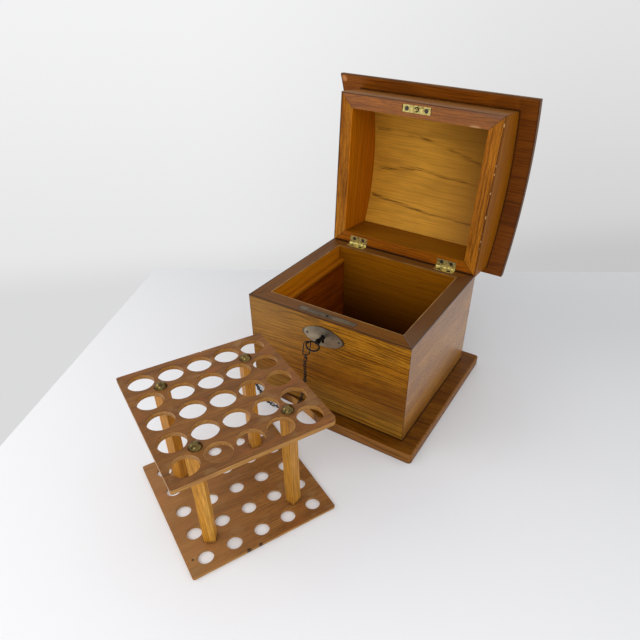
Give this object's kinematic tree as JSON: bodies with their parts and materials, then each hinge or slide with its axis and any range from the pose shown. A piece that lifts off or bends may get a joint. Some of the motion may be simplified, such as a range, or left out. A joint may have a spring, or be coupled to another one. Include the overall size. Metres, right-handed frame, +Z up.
{
  "type": "cigar humidor",
  "caption": "Wooden cigar humidor with an arched hinged lid standing open, a mortise lock with key and chain, and a lift-out drilled cigar rack beside it.",
  "frame": {"origin": "centre of the base board's flat underside, on the table", "axes": "+X to the right seen from the lock side, +Y from the lock side to the hinge side, +Z up"},
  "size_m": [0.248, 0.5017, 0.3271],
  "materials": {
    "stained_wood": "satin varnish, reddish brown stain, fine grain",
    "lining_wood": "dark red brown, satin",
    "rack_wood": "light brown stain, satin",
    "bright_brass": "bright, a little worn",
    "antique_brass": "antiqued, darker at the rim",
    "nickel": "nickel, worn and slightly dull",
    "dark_steel": "dark steel",
    "key_iron": "dark blued iron, satin"
  },
  "bodies": {
    "root": {"base_board": "stained_wood", "base_screws": "dark_steel", "front_wall": "stained_wood", "back_wall": "stained_wood", "left_wall": "stained_wood", "right_wall": "stained_wood", "side_liner": "lining_wood", "left_hinge_body_leaf": "bright_brass", "right_hinge_body_leaf": "bright_brass", "hinge_pins": "dark_steel", "body_hinge_screws": "dark_steel", "lock_selvedge": "nickel", "lock_case": "dark_steel", "escutcheon": "nickel", "escutcheon_pins": "nickel", "key_chain_hanging": "key_iron", "key_chain_lying": "key_iron"},
    "lid": {"lid_front_wall": "stained_wood", "lid_back_wall": "stained_wood", "lid_left_wall": "stained_wood", "lid_right_wall": "stained_wood", "lid_top_board": "stained_wood", "left_hinge_lid_leaf": "bright_brass", "right_hinge_lid_leaf": "bright_brass", "lid_hinge_screws": "dark_steel", "strike_plate": "bright_brass", "strike_screws": "dark_steel"},
    "key": {"key": "key_iron", "key_link": "key_iron"},
    "lock_bolt": {"lock_bolt": "dark_steel"},
    "rack": {"rack_upper_plate": "rack_wood", "rack_lower_plate": "rack_wood", "rack_post_near": "rack_wood", "rack_post_right": "rack_wood", "rack_post_far": "rack_wood", "rack_post_left": "rack_wood", "rack_dome_nails": "antique_brass", "rack_foot_screws": "dark_steel"}
  },
  "joints": [
    {"name": "lid", "type": "hinge", "parent": "root", "child": "lid", "pos_m": [0, 0.0886, 0.13615], "axis": [1, 0, 0], "range_deg": [0, 95]},
    {"name": "key_turn", "type": "hinge", "parent": "root", "child": "key", "pos_m": [-0.002, -0.1, 0.114], "axis": [0, 1, 0], "range_deg": [0, 73], "deforming": ["key_link", "key_chain_hanging"]},
    {"name": "bolt_slide", "type": "slide", "parent": "root", "child": "lock_bolt", "axis": [-1, 0, 0], "range_m": [0, 0.005]},
    {"name": "rack_lift", "type": "slide", "parent": "root", "child": "rack", "axis": [0, 0, 1], "range_m": [0, 0.15]}
  ],
  "couplings": [
    {"joint": "key_turn", "follows": "bolt_slide", "rad_per_m": 254.8}
  ]
}
